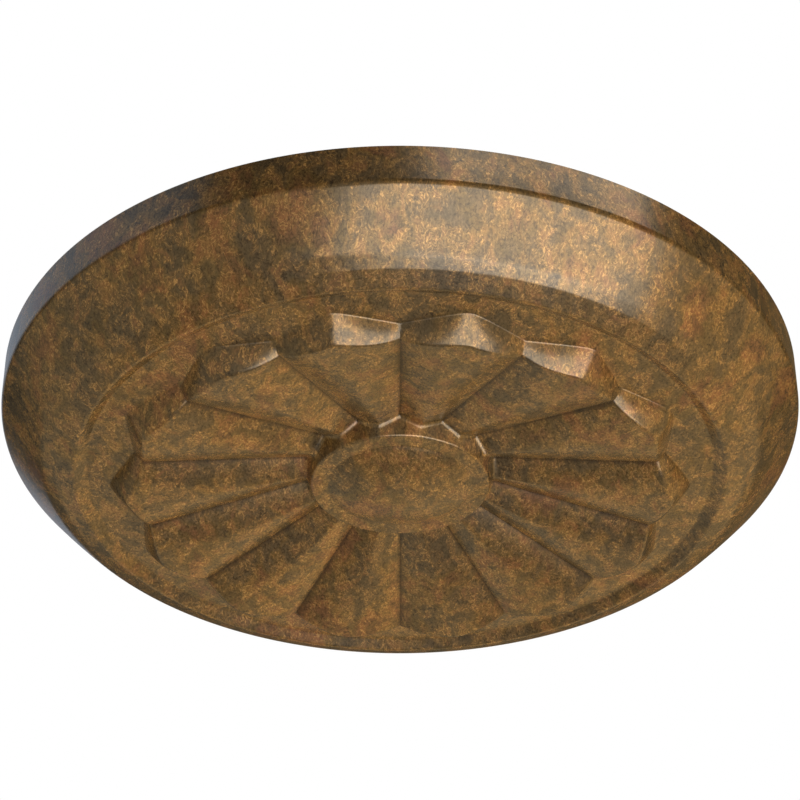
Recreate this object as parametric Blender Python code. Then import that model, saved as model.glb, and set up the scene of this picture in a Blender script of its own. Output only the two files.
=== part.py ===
"""Ceiling medallion: one moulded disc with a stepped rim, a ring of petals and a central boss.

The flat back lies against the ceiling in the plane z = 0, with the origin at its centre.
Everything that shows hangs below it. Every depth here is measured down from the back.
"""

import math

import bmesh
import bpy

# Driving dimensions, in metres
OUTER_RADIUS = 0.203
WALL_DEPTH = 0.0208          # the upright edge that meets the ceiling
WALL_ROUNDING = 0.0016
RISER_BULGE = 0.0003         # how far the steep band swells out from straight
BEND_RADIUS = 0.1810         # where the steep band eases
BEND_DEPTH = 0.0444
BEND_ROUNDING = 0.0020
CREST_OUTER_RADIUS = 0.1746
CREST_OUTER_DEPTH = 0.0482
CREST_INNER_RADIUS = 0.1642
CREST_INNER_DEPTH = 0.0524
CREST_ROUNDING = 0.0014
FIELD_RADIUS = 0.1580        # foot of the small step inside the crest
FIELD_EDGE_DEPTH = 0.0484
FIELD_DEPTH = 0.0500         # the field where the petals stand on it

PETAL_COUNT = 14
PETAL_PITCH = 2 * math.pi / PETAL_COUNT
FIRST_RIDGE = -math.pi / 2 + PETAL_PITCH / 2    # a groove faces the front, -Y
PETAL_STEPS = 8              # columns of faces across one petal
TIP_FOOT_RADIUS = 0.1492     # the tips' radii are those of sharp tips, before rounding
NOTCH_FOOT_RADIUS = 0.1355
TIP_TOP_RADIUS = 0.1383
TIP_TOP_DEPTH = 0.0617
NOTCH_TOP_RADIUS = 0.1310
NOTCH_TOP_DEPTH = 0.0558
TIP_ROUNDING = 0.13          # share of the half petal over which the tip is rounded in plan
TIP_WALL_BULGE = 0.0010      # how far the end walls swell out, halfway up
NOTCH_WALL_BULGE = 0.0005
EYE_RADIUS = 0.0479          # where the petals run into the wall of the boss
RIDGE_EYE_DEPTH = 0.0450
GROOVE_EYE_DEPTH = 0.0402
EYE_COVE = 0.0010            # the soft corner there, along the petal and up the wall
EYE_COVE_SLOPE = 0.4         # how far the wall leans in for each unit of depth
TIP_ARCH_POWER = 2.6         # 1 is a plain gable, more is flatter with steeper flanks
EYE_ARCH_POWER = 1.15
ARCH_CHANGE = 0.6            # how early along the petal the arch turns into a gable
PETAL_CROWN = 0.0012         # how far a petal swells along its length

BOSS_RADIUS = 0.0451
BOSS_DEPTH = 0.0508
BOSS_ROUNDING = 0.0010
BUTTON_RADIUS = 0.0364
BUTTON_SHOULDER_RADIUS = 0.0343
BUTTON_SHOULDER_DEPTH = 0.0519
BUTTON_DEPTH = 0.0580

# How finely the curved stretches are divided
HALFWAY = 0.5
ROUNDING_STEPS = 3
RISER_STEPS = 3
BUTTON_STEPS = 5
PETAL_STATIONS = (0.05, 0.15, 0.32, 0.54, 0.78)
CREASE_ANGLE = math.radians(28)

BRONZE = (0.235, 0.132, 0.052, 1.0)
BRONZE_METALLIC = 0.25
BRONZE_ROUGHNESS = 0.42


def mix(first, second, share):
    """The value a share of the way from the first to the second."""
    return first + (second - first) * share


def bulge(share):
    """A gentle swelling from end to end of a run: 0 at both ends and 1 in the middle."""
    return 4 * share * (1 - share)


def columns():
    """Each column's ridge angle, side and place across its half petal, once round."""
    half = PETAL_STEPS // 2
    for petal in range(PETAL_COUNT):
        ridge = FIRST_RIDGE + petal * PETAL_PITCH
        for step in range(-half, half):
            side = -1 if step < 0 else 1
            yield ridge, side, abs(step) / half


def ring(radius, depth):
    """A level circle of points, one for each column."""
    points = []
    for ridge, side, across in columns():
        angle = ridge + side * across * PETAL_PITCH / 2
        points.append((radius * math.cos(angle), radius * math.sin(angle), -depth))
    return points


def outline_radius(ridge_radius, groove_radius, across):
    """Radius of a line that runs straight in plan from a rounded tip to the groove."""
    half = PETAL_PITCH / 2
    turn = half * math.hypot(across, TIP_ROUNDING * math.sqrt(1 - across * across))
    spread = ridge_radius * math.sin(turn) + groove_radius * math.sin(half - turn)
    return ridge_radius * groove_radius * math.sin(half) / spread


def petal_line(ridge_radius, groove_radius, ridge_depth, groove_depth, power):
    """A scalloped line round all petals, arched between the grooves."""
    points = []
    for ridge, side, across in columns():
        angle = ridge + side * across * PETAL_PITCH / 2
        radius = outline_radius(ridge_radius, groove_radius, across)
        depth = mix(ridge_depth, groove_depth, across ** power)
        points.append((radius * math.cos(angle), radius * math.sin(angle), -depth))
    return points


def rounded_corner(before, corner, after, cut):
    """Points of a soft corner between two straight runs of a profile."""
    start = shortened(corner, before, cut)
    end = shortened(corner, after, cut)
    points = []
    for step in range(ROUNDING_STEPS + 1):
        share = step / ROUNDING_STEPS
        near = [mix(a, b, share) for a, b in zip(start, corner)]
        far = [mix(a, b, share) for a, b in zip(corner, end)]
        points.append(tuple(mix(a, b, share) for a, b in zip(near, far)))
    return points


def shortened(corner, other, cut):
    """The point at a given distance from the corner towards the other point."""
    length = math.dist(corner, other)
    return tuple(mix(a, b, cut / length) for a, b in zip(corner, other))


def rim_profile():
    """The turned rim as (radius, depth) points, from the back edge in to the field."""
    back = (OUTER_RADIUS, 0.0)
    lip = (OUTER_RADIUS, WALL_DEPTH)
    bend = (BEND_RADIUS, BEND_DEPTH)
    crest_out = (CREST_OUTER_RADIUS, CREST_OUTER_DEPTH)
    crest_in = (CREST_INNER_RADIUS, CREST_INNER_DEPTH)
    foot = (FIELD_RADIUS, FIELD_EDGE_DEPTH)
    run = math.dist(lip, bend)
    normal = ((bend[1] - lip[1]) / run, (lip[0] - bend[0]) / run)
    riser = []
    for step in range(1, RISER_STEPS):
        share = step / RISER_STEPS
        swell = RISER_BULGE * bulge(share)
        riser.append(tuple(mix(a, b, share) + swell * n for a, b, n in zip(lip, bend, normal)))
    profile = [back]
    profile += rounded_corner(back, lip, bend, WALL_ROUNDING)
    profile += riser
    profile += rounded_corner(lip, bend, crest_out, BEND_ROUNDING)
    profile.append(crest_out)
    profile += rounded_corner(crest_out, crest_in, foot, CREST_ROUNDING)
    profile.append(foot)
    return profile


def petal_lines():
    """The petals' loops: the end walls from foot to top edge, the backs, and the inner ends."""
    lines = [petal_line(TIP_FOOT_RADIUS, NOTCH_FOOT_RADIUS, FIELD_DEPTH, FIELD_DEPTH, 1)]
    lines.append(petal_line(
        mix(TIP_FOOT_RADIUS, TIP_TOP_RADIUS, HALFWAY) + TIP_WALL_BULGE,
        mix(NOTCH_FOOT_RADIUS, NOTCH_TOP_RADIUS, HALFWAY) + NOTCH_WALL_BULGE,
        mix(FIELD_DEPTH, TIP_TOP_DEPTH, HALFWAY),
        mix(FIELD_DEPTH, NOTCH_TOP_DEPTH, HALFWAY),
        TIP_ARCH_POWER,
    ))
    end_radius = EYE_RADIUS + EYE_COVE
    for station in (0.0,) + PETAL_STATIONS + (1.0,):
        lines.append(petal_line(
            mix(TIP_TOP_RADIUS, end_radius, station),
            mix(NOTCH_TOP_RADIUS, end_radius, station),
            mix(TIP_TOP_DEPTH, RIDGE_EYE_DEPTH, station) + PETAL_CROWN * bulge(station),
            mix(NOTCH_TOP_DEPTH, GROOVE_EYE_DEPTH, station),
            mix(TIP_ARCH_POWER, EYE_ARCH_POWER, station ** ARCH_CHANGE),
        ))
    wall_radius = EYE_RADIUS - EYE_COVE * EYE_COVE_SLOPE
    ridge_depth = RIDGE_EYE_DEPTH + EYE_COVE
    groove_depth = GROOVE_EYE_DEPTH + EYE_COVE
    lines.append(petal_line(wall_radius, wall_radius, ridge_depth, groove_depth, EYE_ARCH_POWER))
    return lines


def button_dome(share):
    """A point of the button's domed face, at a share of its radius from the centre."""
    rise = (BUTTON_DEPTH - BUTTON_SHOULDER_DEPTH) * (1 - share * share)
    return BUTTON_SHOULDER_RADIUS * share, BUTTON_SHOULDER_DEPTH + rise


def boss_profile():
    """The turned boss as (radius, depth) points, from the top of its wall to near the centre."""
    wall = (EYE_RADIUS, RIDGE_EYE_DEPTH)
    edge = (BOSS_RADIUS, BOSS_DEPTH)
    button = (BUTTON_RADIUS, BOSS_DEPTH)
    shoulder = (BUTTON_SHOULDER_RADIUS, BUTTON_SHOULDER_DEPTH)
    dome = [button_dome(1 - step / BUTTON_STEPS) for step in range(1, BUTTON_STEPS)]
    profile = rounded_corner(wall, edge, button, BOSS_ROUNDING)
    profile.append(button)
    profile += rounded_corner(button, shoulder, dome[0], BOSS_ROUNDING)
    profile += dome
    return profile


def skin(mesh, loops):
    """Joins each loop of points to the next with faces and returns the loops of vertices."""
    rows = [[mesh.verts.new(point) for point in loop] for loop in loops]
    for upper, lower in zip(rows, rows[1:]):
        for index, vertex in enumerate(upper):
            after = (index + 1) % len(upper)
            mesh.faces.new((vertex, upper[after], lower[after], lower[index]))
    return rows


def make_medallion(material):
    """The whole medallion as one closed body."""
    loops = [ring(radius, depth) for radius, depth in rim_profile()]
    loops += petal_lines()
    loops += [ring(radius, depth) for radius, depth in boss_profile()]
    mesh = bmesh.new()
    rows = skin(mesh, loops)
    mesh.faces.new(rows[0])
    centre = mesh.verts.new((0.0, 0.0, -BUTTON_DEPTH))
    last = rows[-1]
    for index, vertex in enumerate(last):
        mesh.faces.new((vertex, last[(index + 1) % len(last)], centre))
    bmesh.ops.recalc_face_normals(mesh, faces=mesh.faces)
    data = bpy.data.meshes.new("medallion")
    mesh.to_mesh(data)
    mesh.free()
    data.materials.append(material)
    data.shade_smooth()
    data.set_sharp_from_angle(angle=CREASE_ANGLE)
    medallion = bpy.data.objects.new("medallion", data)
    bpy.context.collection.objects.link(medallion)
    return medallion


def faux_bronze():
    """Rubbed bronze paint on the moulding: mid brown with a satin gloss."""
    material = bpy.data.materials.new("faux bronze")
    material.use_nodes = True
    shader = material.node_tree.nodes["Principled BSDF"]
    shader.inputs["Base Color"].default_value = BRONZE
    shader.inputs["Metallic"].default_value = BRONZE_METALLIC
    shader.inputs["Roughness"].default_value = BRONZE_ROUGHNESS
    return material


def main():
    """Clears the scene and makes the medallion."""
    for item in list(bpy.data.objects):
        bpy.data.objects.remove(item, do_unlink=True)
    make_medallion(faux_bronze())


main()
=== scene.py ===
"""Looks of the ceiling medallion: its moulded surface, its faux bronze finish and the studio.

Everything is in metres, in the frame of the solid. The flat back lies in the plane z = 0,
against the ceiling, with the axis through its centre. What shows hangs below it, and every
depth is measured down from the back.
"""

import logging
import math
from collections.abc import Callable
from dataclasses import dataclass, field
from enum import Enum

import bmesh
import bpy
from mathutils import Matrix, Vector


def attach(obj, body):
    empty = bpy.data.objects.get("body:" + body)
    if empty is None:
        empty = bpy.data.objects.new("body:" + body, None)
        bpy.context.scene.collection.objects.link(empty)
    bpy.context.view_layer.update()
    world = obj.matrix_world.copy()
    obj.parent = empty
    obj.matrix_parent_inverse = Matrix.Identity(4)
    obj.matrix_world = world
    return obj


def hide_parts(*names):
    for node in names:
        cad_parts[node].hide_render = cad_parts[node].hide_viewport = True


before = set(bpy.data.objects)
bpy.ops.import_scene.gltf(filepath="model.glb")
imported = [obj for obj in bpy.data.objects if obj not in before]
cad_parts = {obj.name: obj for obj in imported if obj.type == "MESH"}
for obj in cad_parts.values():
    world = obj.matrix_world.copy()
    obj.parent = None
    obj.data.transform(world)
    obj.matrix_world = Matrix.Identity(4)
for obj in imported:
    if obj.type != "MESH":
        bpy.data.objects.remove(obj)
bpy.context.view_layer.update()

BODY = "root"
CAD_NODE = "medallion"
MM = 0.001

# The groove mark paints shade into the grooves: the paint there is darkened as painted shade
GROOVE_SHADE_MARK = "groove"          # the piece's own value for how deep in a groove a point lies
ON_LINE = 0.02 * MM             # a point this near to a line counts as on it
CREASE_ANGLE = math.radians(32)

# A mix node's sockets for colours, by number, as their names aren't theirs alone
MIX_SHARE = 0
MIX_UNDER = 6
MIX_OVER = 7
MIX_RESULT = 2

LOG = logging.getLogger("medallion")

# A line round the moulding: the radius and depth at a place across a petal
Line = Callable[[float], tuple[float, float]]

# Places along a colour ramp with their hex colours
Stops = tuple[tuple[float, str], ...]


def mix(first: float, second: float, share: float) -> float:
    """Give the value a share of the way from the first to the second."""
    return first + (second - first) * share


def bulge(share: float) -> float:
    """Give a gentle swelling along a run: 0 at both ends and 1 in the middle."""
    return 4 * share * (1 - share)


def linear(hex_colour: str) -> tuple[float, float, float, float]:
    """Turn an sRGB hex colour into a linear one, by the curve of the sRGB standard.

    Args:
        hex_colour: Six hex digits, such as "7c5d35".

    Returns:
        Red, green, blue and an alpha of 1, as a shader's socket takes them.
    """
    shares = [int(hex_colour[place:place + 2], 16) / 255 for place in (0, 2, 4)]
    red, green, blue = (s / 12.92 if s <= 0.04045 else ((s + 0.055) / 1.055) ** 2.4 for s in shares)
    return red, green, blue, 1.0


def deselect_all() -> None:
    """Leave nothing selected, so that the next operator acts on the new piece alone."""
    for each in bpy.context.selected_objects:
        each.select_set(False)


class Edge(Enum):
    """How an edge of the moulding came out of its mould: the faces that round it."""

    SOFT = 4
    CRISP = 2


@dataclass
class Skin:
    """The medallion's closed skin while it is drawn in from the back edge, ring after ring.

    It starts as a filled circle, the flat back. Each ring is extruded from the last one, and
    its columns are pulled to their radius and depth. A column keeps its angle round the axis,
    and like columns, those at one place across their petal, are pulled together.
    """

    name: str
    petals: int
    steps: int
    radius: float
    places: list[float] = field(init=False)
    last: list[tuple[float, float]] = field(init=False)
    body: bpy.types.Object = field(init=False)

    def start(self) -> None:
        """Add the flat back at its size and open it for drawing."""
        deselect_all()
        bpy.ops.mesh.primitive_circle_add(
            vertices=2 * self.steps * self.petals, radius=self.radius, fill_type="NGON"
        )
        self.body = bpy.context.active_object
        self.body.name = self.name
        self.body.data.name = self.name
        self.places = [step / self.steps for step in range(self.steps + 1)]
        self.last = [(self.radius, 0.0) for _ in self.places]
        bpy.ops.object.mode_set(mode="EDIT")
        bpy.ops.mesh.select_mode(type="VERT")
        bpy.ops.mesh.select_all(action="SELECT")

    def across(self, point: Vector) -> int:
        """Give the step from ridge to groove of the column that a point is on."""
        turn = (math.atan2(point.y, point.x) + math.pi / 2) * self.petals / (2 * math.pi)
        return round(abs(2 * (turn % 1.0) - 1) * self.steps)

    def draw(self, line: Line) -> None:
        """Extrude the last ring and pull it onto a line.

        Args:
            line: Gives the radius and depth at a place across a petal, 0 on its ridge and
                1 in its groove.
        """
        bpy.ops.mesh.extrude_region_move()
        mesh = bmesh.from_edit_mesh(self.body.data)
        ring = [vertex for vertex in mesh.verts if vertex.select]
        columns = [[] for _ in self.places]
        for vertex in ring:
            columns[self.across(vertex.co)].append(vertex)
        targets = [line(place) for place in self.places]
        level = len(set(targets)) == 1 and len(set(self.last)) == 1
        groups = [ring] if level else columns
        for group, (radius, depth), (was_radius, was_depth) in zip(groups, targets, self.last):
            for vertex in ring:
                vertex.select = False
            for vertex in group:
                vertex.select = True
            scale = radius / was_radius
            bpy.ops.transform.resize(value=(scale, scale, 1.0), center_override=(0.0, 0.0, 0.0))
            bpy.ops.transform.translate(value=(0.0, 0.0, was_depth - depth))
        for vertex in ring:
            vertex.select = True
        mesh.select_flush(True)
        self.last = targets

    def ring(self, radius: float, depth: float) -> None:
        """Draw a level circle."""
        self.draw(lambda _: (radius, depth))

    def close(self) -> None:
        """Bring the last ring together in one point on the axis."""
        bpy.ops.mesh.merge(type="CENTER")

    def soften(self, line: Line, width: float, edge: Edge) -> None:
        """Bevel the edges that lie on a line.

        Args:
            line: The line of edges, as it was drawn.
            width: How far the bevel reaches on each side.
            edge: How finely the bevel is rounded.
        """
        bpy.ops.mesh.select_mode(type="EDGE")
        bpy.ops.mesh.select_all(action="DESELECT")
        mesh = bmesh.from_edit_mesh(self.body.data)
        targets = [line(place) for place in self.places]
        on_line = set()
        for vertex in mesh.verts:
            radius, depth = targets[self.across(vertex.co)]
            if math.dist((vertex.co.xy.length, -vertex.co.z), (radius, depth)) < ON_LINE:
                on_line.add(vertex)
        for each in mesh.edges:
            each.select = each.verts[0] in on_line and each.verts[1] in on_line
        bpy.ops.mesh.bevel(offset=width, segments=edge.value, affect="EDGES")

    def finish(self) -> bpy.types.Object:
        """Leave edit mode with smooth faces and sharp creases.

        Returns:
            The finished piece.
        """
        bpy.ops.mesh.select_all(action="SELECT")
        bpy.ops.mesh.normals_make_consistent(inside=False)
        bpy.ops.object.mode_set(mode="OBJECT")
        bpy.ops.object.shade_smooth_by_angle(angle=CREASE_ANGLE)
        bpy.ops.object.modifier_add(type="WEIGHTED_NORMAL")
        even = self.body.modifiers[-1]
        even.keep_sharp = True
        bpy.ops.object.modifier_apply(modifier=even.name)
        return self.body


@dataclass
class Rim:
    """The turned rim: an upright edge, a steep band that eases, a crest band and a small step."""

    outer_radius: float = 203.0 * MM
    wall_depth: float = 20.8 * MM
    bend: tuple[float, float] = (181.0 * MM, 44.4 * MM)
    crest_outer: tuple[float, float] = (174.6 * MM, 48.2 * MM)
    crest_inner: tuple[float, float] = (164.2 * MM, 52.4 * MM)
    field_edge: tuple[float, float] = (158.0 * MM, 48.4 * MM)
    bulge: float = 0.3 * MM
    band_steps: int = 6
    wall_edge_width: float = 1.8 * MM
    bend_width: float = 2.6 * MM
    outer_edge_width: float = 0.6 * MM
    inner_edge_width: float = 1.4 * MM
    step_width: float = 0.8 * MM

    def draw(self, skin: Skin) -> None:
        """Draw the rim's rings from the back edge in to the field.

        Args:
            skin: The medallion's skin, as its flat back.
        """
        skin.ring(self.outer_radius, self.wall_depth / 2)
        skin.ring(self.outer_radius, self.wall_depth)
        run = math.hypot(self.outer_radius - self.bend[0], self.bend[1] - self.wall_depth)
        out = (self.bend[1] - self.wall_depth) / run
        down = (self.outer_radius - self.bend[0]) / run
        for step in range(1, self.band_steps):
            share = step / self.band_steps
            swell = self.bulge * math.sin(math.pi * share)
            radius = mix(self.outer_radius, self.bend[0], share) + swell * out
            depth = mix(self.wall_depth, self.bend[1], share) + swell * down
            skin.ring(radius, depth)
        skin.ring(*self.bend)
        skin.ring(*self.crest_outer)
        skin.ring(*self.crest_inner)
        skin.ring(*self.field_edge)

    def soften(self, skin: Skin) -> None:
        """Round the rim's edges.

        Args:
            skin: The medallion's skin, drawn to the centre.
        """
        skin.soften(lambda _: (self.outer_radius, self.wall_depth), self.wall_edge_width, Edge.SOFT)
        skin.soften(lambda _: self.bend, self.bend_width, Edge.SOFT)
        skin.soften(lambda _: self.crest_outer, self.outer_edge_width, Edge.CRISP)
        skin.soften(lambda _: self.crest_inner, self.inner_edge_width, Edge.SOFT)
        skin.soften(lambda _: self.field_edge, self.step_width, Edge.CRISP)


@dataclass
class PetalRing:
    """The ring of petals: each stands up from the field at its tip and falls to the boss."""

    count: int = 14
    field_depth: float = 50.0 * MM
    tip_foot: float = 149.2 * MM
    notch_foot: float = 135.5 * MM
    tip_top: tuple[float, float] = (138.3 * MM, 61.7 * MM)
    notch_top: tuple[float, float] = (131.0 * MM, 55.8 * MM)
    tip_rounding: float = 0.13
    wall_bulge: float = 1.0 * MM
    wall_steps: int = 3
    eye_radius: float = 47.9 * MM
    ridge_eye_depth: float = 45.0 * MM
    groove_eye_depth: float = 40.2 * MM
    tip_arch: float = 2.6
    eye_arch: float = 1.15
    arch_change: float = 0.6
    crown: float = 1.2 * MM
    stations: int = 18
    station_crowding: float = 1.2
    tip_width: float = 1.3 * MM
    eye_width: float = 2.2 * MM
    foot_width: float = 0.6 * MM
    # How much the painted groove shade thins with each column away from the groove
    groove_shade_fall: float = 0.6

    def outline(self, ridge_radius: float, groove_radius: float, place: float) -> float:
        """Give the radius of a line that runs straight in plan to the groove from a round tip.

        Args:
            ridge_radius: The radius on the ridge, where the tip would be if it were sharp.
            groove_radius: The line's radius in the groove.
            place: 0 on the ridge, 1 in the groove.

        Returns:
            The radius where the column at that place crosses the line.
        """
        half = math.pi / self.count
        turn = math.hypot(place, self.tip_rounding * math.sqrt(1 - place * place)) * half
        spread = ridge_radius * math.sin(turn) + groove_radius * math.sin(half - turn)
        return ridge_radius * groove_radius * math.sin(half) / spread

    def foot_line(self, place: float) -> tuple[float, float]:
        """Give the radius and depth where the end walls stand on the field."""
        return self.outline(self.tip_foot, self.notch_foot, place), self.field_depth

    def wall_line(self, share: float, place: float) -> tuple[float, float]:
        """Give a point of the end walls, which swell out between foot and top.

        Args:
            share: How far up from the field it lies, 1 at the top edge.
            place: 0 on the ridge, 1 in the groove.

        Returns:
            Its radius and depth.
        """
        swell = self.wall_bulge * math.sin(math.pi * share)
        ridge = mix(self.tip_foot, self.tip_top[0], share) + swell
        groove = mix(self.notch_foot, self.notch_top[0], share) + swell / 2
        rise = self.petal_line(0.0, place)[1] - self.field_depth
        return self.outline(ridge, groove, place), self.field_depth + rise * share

    def fall(self, share: float, place: float) -> float:
        """Give how far a petal has fallen, 0 on its ridge and 1 in the groove.

        The backs are nearly flat at the tips and close to plain gables at the eye, so that
        the flanks reach the grooves at about one slope all the way.

        Args:
            share: How far in it lies, 0 at the tips and 1 at the eye.
            place: 0 on the ridge, 1 in the groove.

        Returns:
            The share of the way from the ridge's depth to the groove's.
        """
        return place ** mix(self.tip_arch, self.eye_arch, share**self.arch_change)

    def petal_line(self, share: float, place: float) -> tuple[float, float]:
        """Give a point of the petals' surface.

        Args:
            share: How far in it lies, 0 at the tips and 1 at the eye.
            place: 0 on the ridge, 1 in the groove.

        Returns:
            Its radius and depth.
        """
        ridge = mix(self.tip_top[0], self.eye_radius, share)
        groove = mix(self.notch_top[0], self.eye_radius, share)
        ridge_depth = mix(self.tip_top[1], self.ridge_eye_depth, share) + self.crown * bulge(share)
        groove_depth = mix(self.notch_top[1], self.groove_eye_depth, share)
        depth = mix(ridge_depth, groove_depth, self.fall(share, place))
        return self.outline(ridge, groove, place), depth

    def draw(self, skin: Skin) -> None:
        """Draw the petals' rings from the field in to the eye.

        Args:
            skin: The medallion's skin, drawn as far as the field.
        """
        skin.draw(self.foot_line)
        for step in range(1, self.wall_steps):
            skin.draw(lambda place: self.wall_line(step / self.wall_steps, place))
        for station in range(self.stations + 1):
            share = (station / self.stations) ** self.station_crowding
            skin.draw(lambda place: self.petal_line(share, place))

    def soften(self, skin: Skin) -> None:
        """Round the tips' upper edges, the ends round the eye and the feet of the end walls.

        Args:
            skin: The medallion's skin, drawn to the centre.
        """
        skin.soften(lambda place: self.petal_line(0.0, place), self.tip_width, Edge.SOFT)
        skin.soften(lambda place: self.petal_line(1.0, place), self.eye_width, Edge.SOFT)
        skin.soften(self.foot_line, self.foot_width, Edge.CRISP)

    def mark_groove_shade(self, skin: Skin, piece: bpy.types.Object) -> None:
        """Mark the grooves between the backs, where the paint is darkened as painted shade.

        Args:
            skin: The skin that gives each point's column.
            piece: The finished piece, which gets a value for each point.
        """
        # Painted shade: each point's mark says how strongly the paint is darkened there
        marks = piece.data.attributes.new(GROOVE_SHADE_MARK, "FLOAT", "POINT")
        for vertex, mark in zip(piece.data.vertices, marks.data):
            if self.eye_radius <= vertex.co.xy.length <= self.notch_top[0]:
                steps_away = skin.steps - skin.across(vertex.co)
                mark.value = max(0.0, 1.0 - steps_away * self.groove_shade_fall)


@dataclass
class Boss:
    """The centre: a steep wall, a flat ring and a domed button that stands out of it."""

    edge: tuple[float, float] = (45.1 * MM, 50.8 * MM)
    button_foot: float = 36.4 * MM
    shoulder: tuple[float, float] = (34.3 * MM, 51.9 * MM)
    button_depth: float = 58.0 * MM
    dome_steps: int = 10
    edge_width: float = 0.9 * MM

    def dome(self, share: float) -> tuple[float, float]:
        """Give a point of the button's face.

        Args:
            share: How far in it lies, 0 at the shoulder and 1 on the axis.

        Returns:
            Its radius and depth.
        """
        radius = self.shoulder[0] * (1 - share)
        rise = self.button_depth - self.shoulder[1]
        return radius, self.button_depth - rise * (1 - share) ** 2

    def draw(self, skin: Skin) -> None:
        """Draw the boss from the petals' inner ends to the axis.

        Args:
            skin: The medallion's skin, drawn as far as the eye.
        """
        skin.ring(*self.edge)
        skin.ring(self.button_foot, self.edge[1])
        skin.ring(*self.shoulder)
        for step in range(1, self.dome_steps):
            skin.ring(*self.dome(step / self.dome_steps))
        skin.close()

    def soften(self, skin: Skin) -> None:
        """Round the boss's edges.

        Args:
            skin: The medallion's skin, drawn to the centre.
        """
        skin.soften(lambda _: self.edge, self.edge_width, Edge.SOFT)
        skin.soften(lambda _: self.shoulder, self.edge_width, Edge.SOFT)
        skin.soften(lambda _: (self.button_foot, self.edge[1]), self.edge_width / 2, Edge.CRISP)


def add_node(
    tree: bpy.types.NodeTree,
    kind: str,
    settings: dict | None = None,
    values: dict | None = None,
    links: dict | None = None,
    stops: Stops = (),
) -> bpy.types.Node:
    """Add one node with its settings and what it reads.

    Args:
        tree: The material's or world's nodes.
        kind: The node's type, such as "ShaderNodeTexNoise".
        settings: The node's own settings by name.
        values: Its sockets' values, by name or number.
        links: The output sockets that feed its inputs, by name or number.
        stops: A colour ramp's places and colours.

    Returns:
        The new node.
    """
    node = tree.nodes.new(kind)
    for name, value in (settings or {}).items():
        setattr(node, name, value)
    for socket, value in (values or {}).items():
        node.inputs[socket].default_value = value
    for socket, source in (links or {}).items():
        tree.links.new(source, node.inputs[socket])
    for number, (place, colour) in enumerate(stops):
        elements = node.color_ramp.elements
        if number == len(elements):
            elements.new(place)
        elements[number].position = place
        elements[number].color = linear(colour)
    return node


@dataclass(frozen=True)
class Mottle:
    """One scale of the painted pattern, in lumps of about the given size."""

    size: float
    detail: float
    distortion: float = 0.0
    breakup: float = 0.6

    def values(self) -> dict[str, float]:
        """Give a noise node's values for lumps of this size."""
        return {
            "Scale": 1 / self.size,
            "Detail": self.detail,
            "Distortion": self.distortion,
            "Roughness": self.breakup,
        }


@dataclass(frozen=True)
class Strokes:
    """Thin painted lines along the middle level of a pattern, gathered in clusters."""

    pattern: Mottle
    half_width: float
    clusters: Stops
    strength: float
    colour: str

    def paint(
        self,
        tree: bpy.types.NodeTree,
        place: bpy.types.NodeSocket,
        patches: bpy.types.NodeSocket,
        under: bpy.types.NodeSocket,
    ) -> tuple[bpy.types.NodeSocket, bpy.types.NodeSocket]:
        """Paint the lines over a colour.

        Args:
            tree: The material's nodes.
            place: The coordinates that the pattern follows.
            patches: The level that says where the clusters are.
            under: The colour beneath.

        Returns:
            The painted colour, and the level of the pattern that the lines follow.
        """
        middle = 0.5
        level = add_node(
            tree, "ShaderNodeTexNoise", values=self.pattern.values(), links={"Vector": place}
        ).outputs["Fac"]
        across = (
            (middle - self.half_width, "000000"),
            (middle, "ffffff"),
            (middle + self.half_width, "000000"),
        )
        lines = add_node(tree, "ShaderNodeValToRGB", links={"Fac": level}, stops=across)
        clusters = add_node(tree, "ShaderNodeValToRGB", links={"Fac": patches}, stops=self.clusters)
        gathered = add_node(
            tree,
            "ShaderNodeMath",
            settings={"operation": "MULTIPLY"},
            links={0: lines.outputs["Color"], 1: clusters.outputs["Color"]},
        )
        share = add_node(
            tree,
            "ShaderNodeMath",
            settings={"operation": "MULTIPLY"},
            values={1: self.strength},
            links={0: gathered.outputs[0]},
        )
        painted = add_node(
            tree,
            "ShaderNodeMix",
            settings={"data_type": "RGBA"},
            values={MIX_OVER: linear(self.colour)},
            links={MIX_SHARE: share.outputs[0], MIX_UNDER: under},
        )
        return painted.outputs[MIX_RESULT], level


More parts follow.
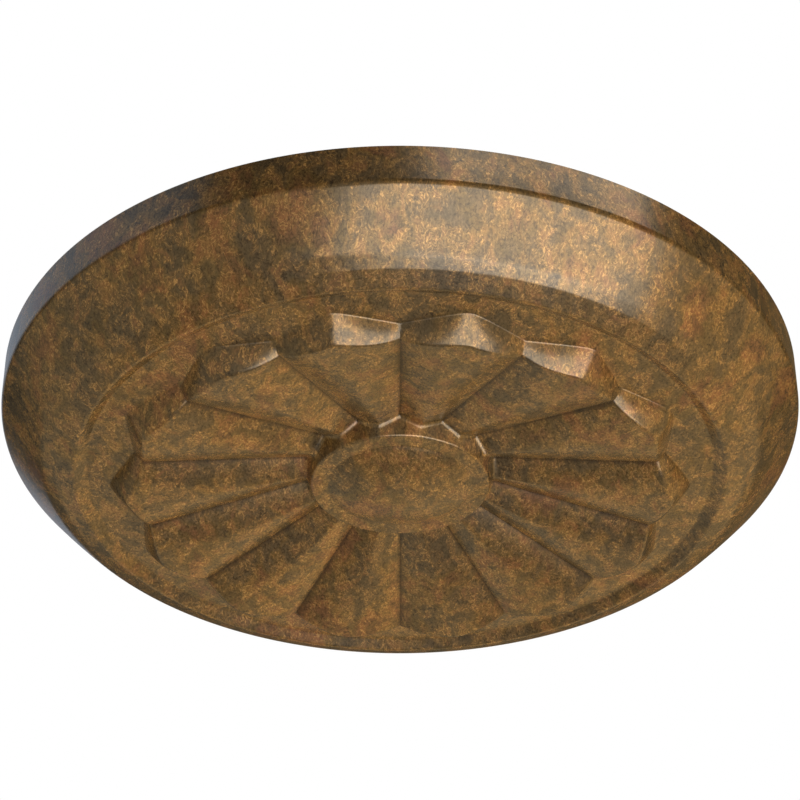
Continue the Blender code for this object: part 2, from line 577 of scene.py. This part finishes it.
@dataclass(frozen=True)
class FauxBronze:
    """Hand-painted faux bronze on moulded polyurethane.

    Ochre and tan glazes are stippled over a grey-brown ground and sealed with a satin varnish.
    It gives the eye soft clouds of grey and golden brown, full of fine grain, with thin ochre
    curls in clusters and thin dark squiggles between them. The grooves between the petals are
    darkened with painted shade. The pattern is drawn out one way, as the brush went.
    """

    name: str = "faux_bronze_stippled_on_polyurethane"
    # Less than 1 draws the pattern out along that axis
    brushed: tuple[float, float, float] = (1.0, 0.68, 0.7)
    sway: Mottle = Mottle(size=6.8 * MM, detail=2.0)
    wander: float = 2.6 * MM
    cloud: Mottle = Mottle(size=24.0 * MM, detail=5.0, distortion=0.4)
    ground: Stops = ((0.38, "665943"), (0.47, "776545"), (0.54, "8a703c"), (0.63, "996640"))
    patch: Mottle = Mottle(size=8.0 * MM, detail=5.0, distortion=0.8)
    glaze: Stops = ((0.36, "5d513b"), (0.47, "756146"), (0.54, "907146"), (0.66, "a8764e"))
    glaze_share: float = 0.5
    curls: Strokes = Strokes(
        pattern=Mottle(size=3.4 * MM, detail=1.2, distortion=1.6),
        half_width=0.035,
        clusters=((0.42, "000000"), (0.54, "ffffff")),
        strength=0.95,
        colour="d6aa68",
    )
    squiggles: Strokes = Strokes(
        pattern=Mottle(size=3.0 * MM, detail=1.4, distortion=1.2),
        half_width=0.04,
        clusters=((0.46, "ffffff"), (0.62, "404040")),
        strength=0.75,
        colour="33271a",
    )
    # The real grain is finer, and is drawn as coarse as it needs to show
    grain: Mottle = Mottle(size=1.1 * MM, detail=2.0)
    speckle: Stops = ((0.35, "8c8c8c"), (0.65, "ffffff"))
    speckle_share: float = 0.6
    # Painted shade: the grooves between the petals are darkened towards this dark brown
    groove_shade_colour: str = "2e2114"
    groove_shade_share: float = 0.7
    bump_strength: float = 0.12
    bump_height: float = 0.3 * MM
    # A satin varnish over paint that holds some bronze powder
    roughness: float = 0.25
    metallic: float = 0.3
    ior: float = 1.65

    def places(
        self, tree: bpy.types.NodeTree
    ) -> tuple[bpy.types.NodeSocket, bpy.types.NodeSocket]:
        """Draw the piece's coordinates out as the brush went.

        Args:
            tree: The material's nodes.

        Returns:
            The drawn-out coordinates, and the same made to wander for the finer paint.
        """
        place = add_node(tree, "ShaderNodeTexCoord").outputs["Object"]
        brushed = add_node(
            tree, "ShaderNodeMapping", values={"Scale": self.brushed}, links={"Vector": place}
        ).outputs["Vector"]
        sway = add_node(
            tree, "ShaderNodeTexNoise", values=self.sway.values(), links={"Vector": brushed}
        )
        wandering = add_node(
            tree,
            "ShaderNodeVectorMath",
            settings={"operation": "MULTIPLY_ADD"},
            values={1: (self.wander, self.wander, self.wander)},
            links={0: sway.outputs["Color"], 2: brushed},
        )
        return brushed, wandering.outputs[0]

    def ground_coats(
        self,
        tree: bpy.types.NodeTree,
        brushed: bpy.types.NodeSocket,
        patches: bpy.types.NodeSocket,
    ) -> bpy.types.NodeSocket:
        """Paint the cloudy ground and the stippled glaze over it.

        Args:
            tree: The material's nodes.
            brushed: The drawn-out coordinates.
            patches: The level that the glaze follows.

        Returns:
            The colour of both coats together.
        """
        clouds = add_node(
            tree, "ShaderNodeTexNoise", values=self.cloud.values(), links={"Vector": brushed}
        )
        ground = add_node(
            tree, "ShaderNodeValToRGB", links={"Fac": clouds.outputs["Fac"]}, stops=self.ground
        )
        glaze = add_node(tree, "ShaderNodeValToRGB", links={"Fac": patches}, stops=self.glaze)
        both = add_node(
            tree,
            "ShaderNodeMix",
            settings={"data_type": "RGBA"},
            values={MIX_SHARE: self.glaze_share},
            links={MIX_UNDER: ground.outputs["Color"], MIX_OVER: glaze.outputs["Color"]},
        )
        return both.outputs[MIX_RESULT]

    def darkening(
        self,
        tree: bpy.types.NodeTree,
        brushed: bpy.types.NodeSocket,
        under: bpy.types.NodeSocket,
    ) -> bpy.types.NodeSocket:
        """Darken the paint with its grain, and with painted shade in the grooves between the petals.

        Args:
            tree: The material's nodes.
            brushed: The drawn-out coordinates.
            under: The painted colour.

        Returns:
            The darkened colour.
        """
        grain = add_node(
            tree, "ShaderNodeTexNoise", values=self.grain.values(), links={"Vector": brushed}
        )
        speckle = add_node(
            tree, "ShaderNodeValToRGB", links={"Fac": grain.outputs["Fac"]}, stops=self.speckle
        )
        grained = add_node(
            tree,
            "ShaderNodeMix",
            settings={"data_type": "RGBA", "blend_type": "MULTIPLY"},
            values={MIX_SHARE: self.speckle_share},
            links={MIX_UNDER: under, MIX_OVER: speckle.outputs["Color"]},
        )
        # Painted shade: the groove marks darken the paint towards a dark brown
        grooves = add_node(tree, "ShaderNodeAttribute", settings={"attribute_name": GROOVE_SHADE_MARK})
        gathered = add_node(
            tree,
            "ShaderNodeMath",
            settings={"operation": "MULTIPLY"},
            values={1: self.groove_shade_share},
            links={0: grooves.outputs["Fac"]},
        )
        darkened = add_node(
            tree,
            "ShaderNodeMix",
            settings={"data_type": "RGBA"},
            values={MIX_OVER: linear(self.groove_shade_colour)},
            links={MIX_SHARE: gathered.outputs[0], MIX_UNDER: grained.outputs[MIX_RESULT]},
        )
        return darkened.outputs[MIX_RESULT]

    def material(self) -> bpy.types.Material:
        """Build the finish.

        Returns:
            The material, patterned in the piece's own coordinates.
        """
        made = bpy.data.materials.new(self.name)
        made.use_nodes = True
        tree = made.node_tree
        tree.nodes.clear()
        brushed, wandering = self.places(tree)
        patches = add_node(
            tree, "ShaderNodeTexNoise", values=self.patch.values(), links={"Vector": wandering}
        ).outputs["Fac"]
        colour = self.ground_coats(tree, brushed, patches)
        colour, curl_level = self.curls.paint(tree, wandering, patches, colour)
        colour, _ = self.squiggles.paint(tree, wandering, patches, colour)
        colour = self.darkening(tree, brushed, colour)
        rise = add_node(
            tree,
            "ShaderNodeBump",
            values={"Strength": self.bump_strength, "Distance": self.bump_height},
            links={"Height": curl_level},
        )
        shader = add_node(
            tree,
            "ShaderNodeBsdfPrincipled",
            values={"Roughness": self.roughness, "Metallic": self.metallic, "IOR": self.ior},
            links={"Base Color": colour, "Normal": rise.outputs["Normal"]},
        )
        add_node(tree, "ShaderNodeOutputMaterial", links={"Surface": shader.outputs["BSDF"]})
        return made


@dataclass(frozen=True)
class PaintedFloor:
    """White floor paint, rolled on and dried matt: plain and pale, without a pattern."""

    name: str = "white_floor_paint_rolled"
    colour: str = "e6e3de"
    roughness: float = 0.8

    def material(self) -> bpy.types.Material:
        """Build the finish.

        Returns:
            The floor's material.
        """
        made = bpy.data.materials.new(self.name)
        made.use_nodes = True
        shader = made.node_tree.nodes["Principled BSDF"]
        shader.inputs["Base Color"].default_value = linear(self.colour)
        shader.inputs["Roughness"].default_value = self.roughness
        return made


@dataclass
class Medallion:
    """The whole medallion, one moulded piece."""

    rim: Rim = field(default_factory=Rim)
    petals: PetalRing = field(default_factory=PetalRing)
    boss: Boss = field(default_factory=Boss)
    finish: FauxBronze = field(default_factory=FauxBronze)
    half_petal_steps: int = 18

    def build(self) -> bpy.types.Object:
        """Draw the skin from rim to centre, then dress it.

        Returns:
            The piece that stands for the solid.
        """
        skin = Skin("medallion_skin", self.petals.count, self.half_petal_steps, self.rim.outer_radius)
        skin.start()
        for part in (self.rim, self.petals, self.boss):
            part.draw(skin)
        for part in (self.boss, self.petals, self.rim):
            part.soften(skin)
        piece = skin.finish()
        # Mark where shade is painted into the grooves
        self.petals.mark_groove_shade(skin, piece)
        piece.data.materials.append(self.finish.material())
        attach(piece, BODY)
        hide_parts(CAD_NODE)
        return piece


@dataclass(frozen=True)
class SoftBox:
    """A studio light with an even rectangular face.

    It hangs at an azimuth from the front, an elevation and a distance from the medallion, and
    looks at it, or straight up where it has a turn about the upright axis. It may be left out
    of what lights the paint's colour, or of what is mirrored in the varnish.
    """

    name: str
    azimuth: float
    elevation: float
    distance: float
    width: float
    height: float
    power: float
    colour: str
    lights_up: bool = True
    mirrored: bool = True
    level_turn: float | None = None

    def build(self) -> bpy.types.Object:
        """Hang the light.

        Returns:
            The light's object.
        """
        turn = math.radians(self.azimuth)
        tilt = math.radians(self.elevation)
        level = math.cos(tilt)
        away = Vector((math.sin(turn) * level, -math.cos(turn) * level, math.sin(tilt)))
        lamp = bpy.data.lights.new(self.name, "AREA")
        lamp.shape = "RECTANGLE"
        lamp.size = self.width
        lamp.size_y = self.height
        lamp.energy = self.power
        lamp.color = linear(self.colour)[:3]
        holder = bpy.data.objects.new(self.name, lamp)
        holder.location = away * self.distance
        if self.level_turn is None:
            holder.rotation_euler = (-away).to_track_quat("-Z", "Y").to_euler()
        else:
            holder.rotation_euler = (math.pi, 0.0, math.radians(self.level_turn))
        holder.visible_diffuse = self.lights_up
        holder.visible_glossy = self.mirrored
        bpy.context.scene.collection.objects.link(holder)
        return holder


@dataclass
class Studio:
    """A pale floor far below, soft lights and the camera that looks up at the medallion."""

    floor_drop: float = 2.4
    floor_side: float = 3.6
    camera_place: tuple[float, float, float] = (0.0, -1.08047, -0.76293)
    camera_tilt: float = 35.322
    lens_mm: float = 115.0
    sensor_mm: float = 36.0
    tones: Stops = ((0.455, "f2e4cc"), (0.54, "62605c"))
    casts: Stops = ((0.3, "b6b6b0"), (0.7, "ffe8bc"))
    far_shade: float = 0.15

    def floor(self) -> bpy.types.Object:
        """Lay the floor."""
        deselect_all()
        bpy.ops.mesh.primitive_plane_add(size=self.floor_side, location=(0.0, 0.0, -self.floor_drop))
        ground = bpy.context.active_object
        ground.name = "studio_floor"
        bpy.ops.object.transform_apply(location=True, rotation=True, scale=True)
        ground.data.materials.append(PaintedFloor().material())
        return ground

    def lights(self) -> None:
        """Hang the lights: two that the varnish mirrors, one for the colour, two from above."""
        SoftBox(
            name="key_light", azimuth=33.0, elevation=-48.0, distance=1.8,
            width=2.5, height=1.5, power=37.0, colour="fffaf2", lights_up=False,
        ).build()
        SoftBox(
            name="strip_light", azimuth=50.0, elevation=-69.6, distance=1.6,
            width=1.2, height=0.58, power=5.8, colour="fffaf2", lights_up=False, level_turn=16.0,
        ).build()
        SoftBox(
            name="fill_light", azimuth=60.0, elevation=-73.0, distance=2.0,
            width=2.4, height=1.6, power=24.5, colour="fff6ea", mirrored=False,
        ).build()
        SoftBox(
            name="high_light", azimuth=40.0, elevation=52.0, distance=2.0,
            width=1.85, height=1.2, power=19.0, colour="fffaf2",
        ).build()
        SoftBox(
            name="cool_light", azimuth=-115.0, elevation=38.0, distance=2.0,
            width=4.0, height=1.5, power=11.0, colour="c4d6ee",
        ).build()

    def surroundings(self) -> None:
        """Make the room warm and pale below and dim above, and white where the camera looks."""
        world = bpy.data.worlds.new("studio")
        world.use_nodes = True
        tree = world.node_tree
        tree.nodes.clear()
        way = add_node(tree, "ShaderNodeTexCoord").outputs["Generated"]
        parts = add_node(tree, "ShaderNodeSeparateXYZ", links={"Vector": way})
        behind = add_node(
            tree,
            "ShaderNodeMath",
            settings={"operation": "MAXIMUM"},
            values={1: 0.0},
            links={0: parts.outputs["Y"]},
        )
        height = add_node(
            tree,
            "ShaderNodeMath",
            settings={"operation": "MULTIPLY_ADD"},
            values={1: self.far_shade},
            links={0: behind.outputs[0], 2: parts.outputs["Z"]},
        )
        tone = self.shade(tree, height.outputs[0], self.tones)
        cast = self.shade(tree, parts.outputs["X"], self.casts)
        cast_tone = add_node(
            tree,
            "ShaderNodeMix",
            settings={"data_type": "RGBA", "blend_type": "MULTIPLY"},
            values={MIX_SHARE: 1.0},
            links={MIX_UNDER: tone, MIX_OVER: cast},
        )
        colour = cast_tone.outputs[MIX_RESULT]
        room = add_node(tree, "ShaderNodeBackground", links={"Color": colour})
        paper = add_node(tree, "ShaderNodeBackground", values={"Color": linear("ffffff")})
        ray = add_node(tree, "ShaderNodeLightPath")
        both = add_node(
            tree,
            "ShaderNodeMixShader",
            links={0: ray.outputs["Is Camera Ray"], 1: room.outputs[0], 2: paper.outputs[0]},
        )
        add_node(tree, "ShaderNodeOutputWorld", links={"Surface": both.outputs[0]})
        bpy.context.scene.world = world
        bpy.context.scene.view_settings.view_transform = "Standard"

    def shade(
        self, tree: bpy.types.NodeTree, level: bpy.types.NodeSocket, stops: Stops
    ) -> bpy.types.NodeSocket:
        """Colour the room along a direction.

        Args:
            tree: The world's nodes.
            level: How far along it a point of the room lies, from -1 to 1.
            stops: The colours, with -1 at the ramp's start and 1 at its end.

        Returns:
            The colour.
        """
        share = add_node(
            tree,
            "ShaderNodeMapRange",
            values={"From Min": -1.0, "From Max": 1.0},
            links={"Value": level},
        )
        colours = add_node(
            tree, "ShaderNodeValToRGB", links={"Fac": share.outputs["Result"]}, stops=stops
        )
        return colours.outputs["Color"]

    def camera(self) -> bpy.types.Object:
        """Set the camera at the photograph's viewing angle."""
        lens = bpy.data.cameras.new("camera")
        lens.sensor_width = self.sensor_mm
        lens.lens = self.lens_mm
        holder = bpy.data.objects.new("camera", lens)
        holder.location = self.camera_place
        holder.rotation_euler = (math.radians(90 + self.camera_tilt), 0.0, 0.0)
        bpy.context.scene.collection.objects.link(holder)
        bpy.context.scene.camera = holder
        return holder


def main() -> None:
    """Build the medallion, then the studio round it."""
    logging.basicConfig(level=logging.INFO, format="%(name)s: %(message)s")
    studio = Studio()
    studio.camera()
    piece = Medallion().build()
    piece.data.calc_loop_triangles()
    LOG.info("%s has %d triangles", piece.name, len(piece.data.loop_triangles))
    studio.floor()
    studio.lights()
    studio.surroundings()


if __name__ == "__main__":
    main()
